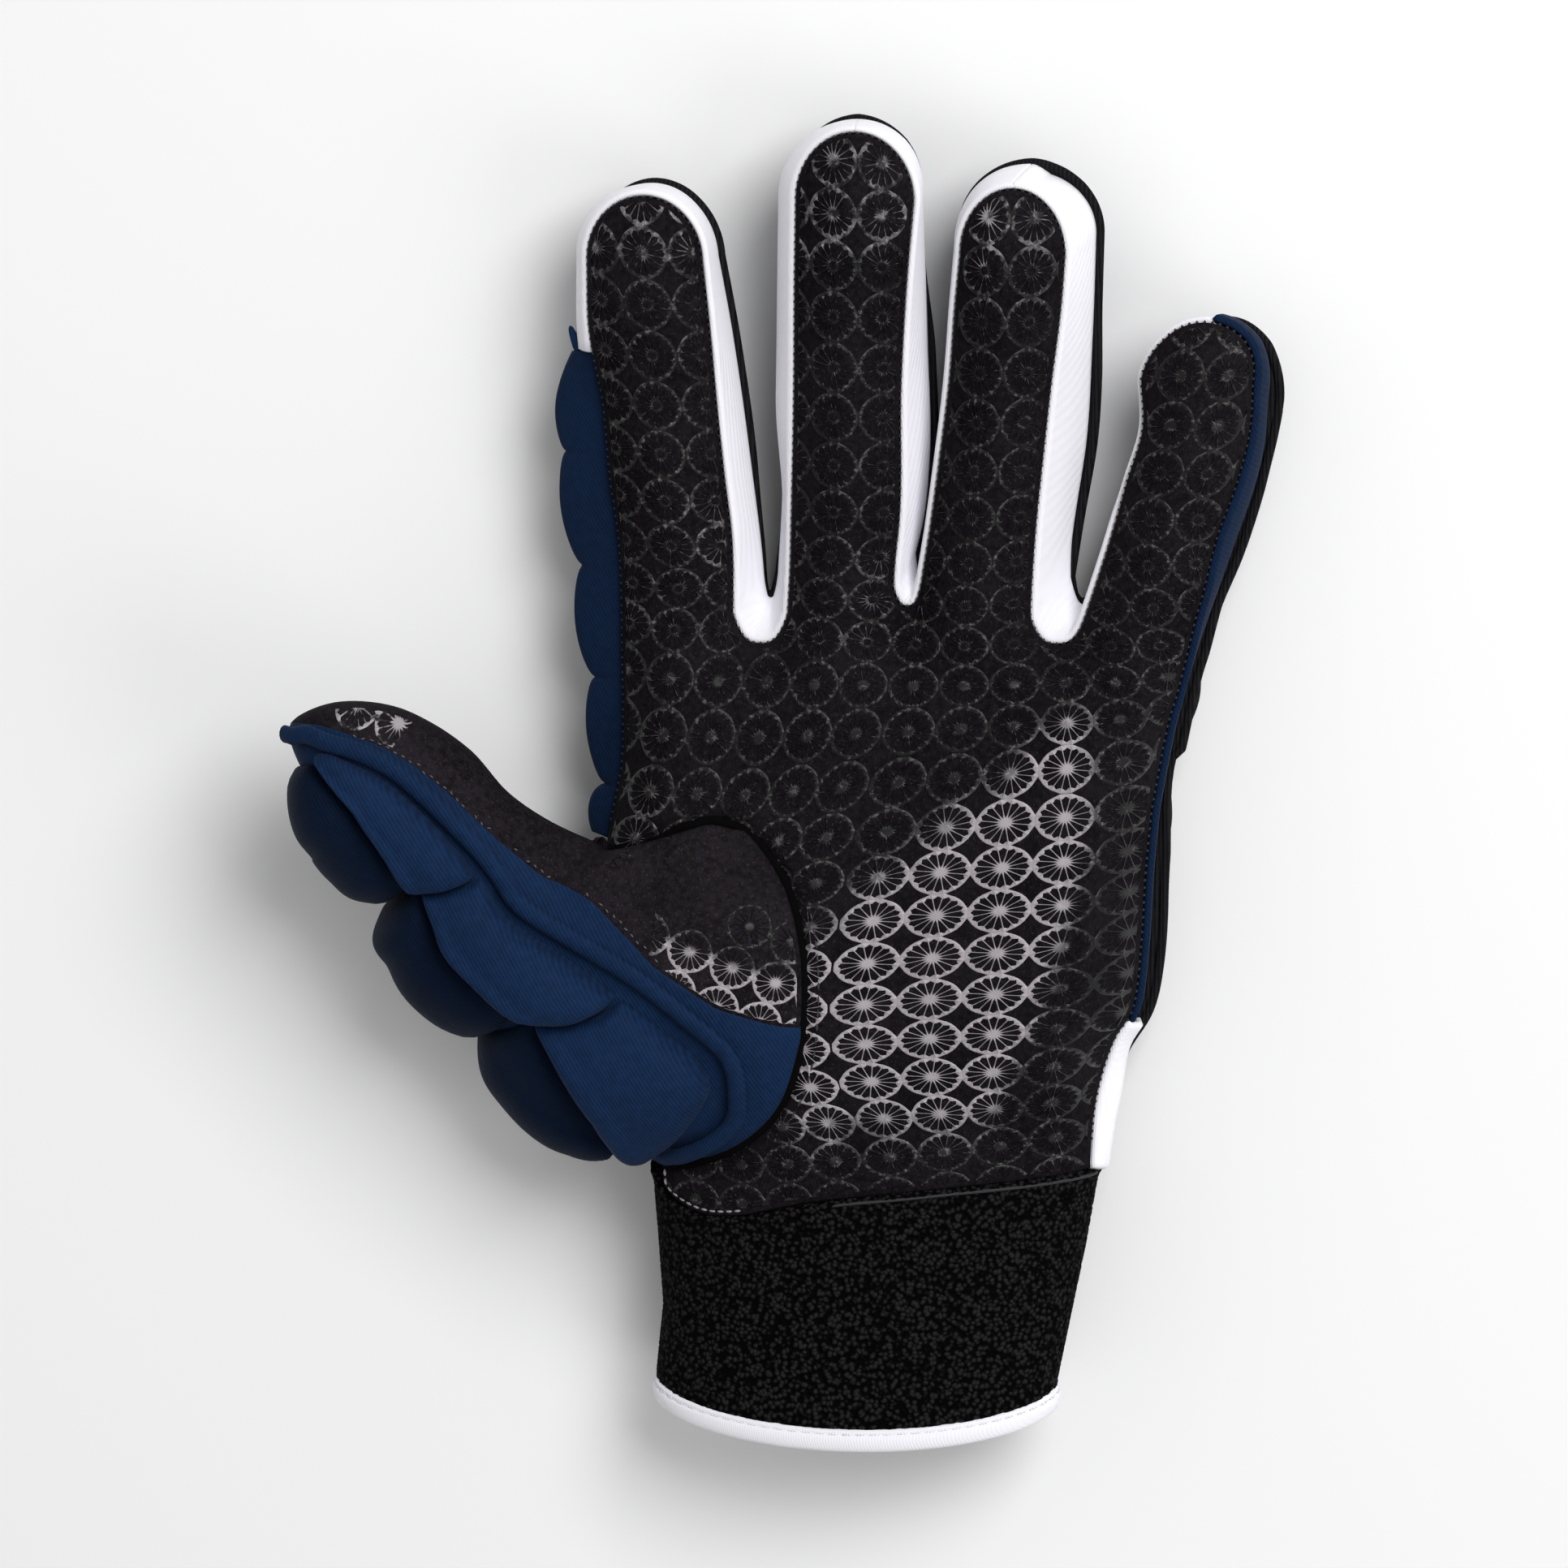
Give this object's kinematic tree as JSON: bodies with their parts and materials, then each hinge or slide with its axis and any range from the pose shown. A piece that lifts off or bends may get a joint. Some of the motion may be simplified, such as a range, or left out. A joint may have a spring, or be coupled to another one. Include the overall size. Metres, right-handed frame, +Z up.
{
  "type": "field hockey glove",
  "caption": "Hollow full-finger field hockey glove for the left hand, with a gripping palm, padded thumb and back, and an elastic cuff.",
  "frame": {"origin": "middle of the glove's outline from above, on the surface that the back pads lie on", "axes": "+Y from the cuff to the fingertips, +Z up out of the palm, +X to the little finger"},
  "size_m": [0.1684, 0.2306, 0.0527],
  "materials": {
    "palm": "matte knit with a raised grey silicone print",
    "back": "matte knit",
    "white": "smooth stretch knit",
    "navy": "fine twill over foam",
    "black_foam": "matte moulded foam",
    "cuff": "pebbled elastic"
  },
  "bodies": {
    "root": {"palm_panel": "palm", "back_panel": "back", "fourchette_index_middle": "white", "fourchette_middle_ring": "white", "fourchette_ring_little": "white", "index_side_pad": "navy", "little_side_strip": "navy", "wrist_gusset": "white", "thumb_palm_panel": "palm", "thumb_shell": "navy", "thumb_pad_inner_1": "navy", "thumb_pad_inner_2": "navy", "thumb_pad_inner_3": "navy", "thumb_pad_outer_1": "navy", "thumb_pad_outer_2": "navy", "thumb_pad_outer_3": "navy", "index_back_pad_1": "navy", "index_back_pad_2": "navy", "index_back_pad_3": "navy", "middle_back_pad_1": "navy", "middle_back_pad_2": "navy", "middle_back_pad_3": "navy", "ring_back_pad_1": "navy", "ring_back_pad_2": "navy", "ring_back_pad_3": "navy", "little_back_pad_1": "navy", "little_back_pad_2": "navy", "little_back_pad_3": "navy", "hand_back_pad_1_1": "black_foam", "hand_back_pad_1_2": "black_foam", "hand_back_pad_1_3": "black_foam", "hand_back_pad_1_4": "black_foam", "hand_back_pad_2_1": "black_foam", "hand_back_pad_2_2": "black_foam", "hand_back_pad_2_3": "black_foam", "hand_back_pad_2_4": "black_foam", "hand_back_pad_3_1": "black_foam", "hand_back_pad_3_2": "black_foam", "hand_back_pad_3_3": "black_foam", "hand_back_pad_3_4": "black_foam", "cuff": "cuff", "cuff_binding": "white"}
  },
  "joints": []
}
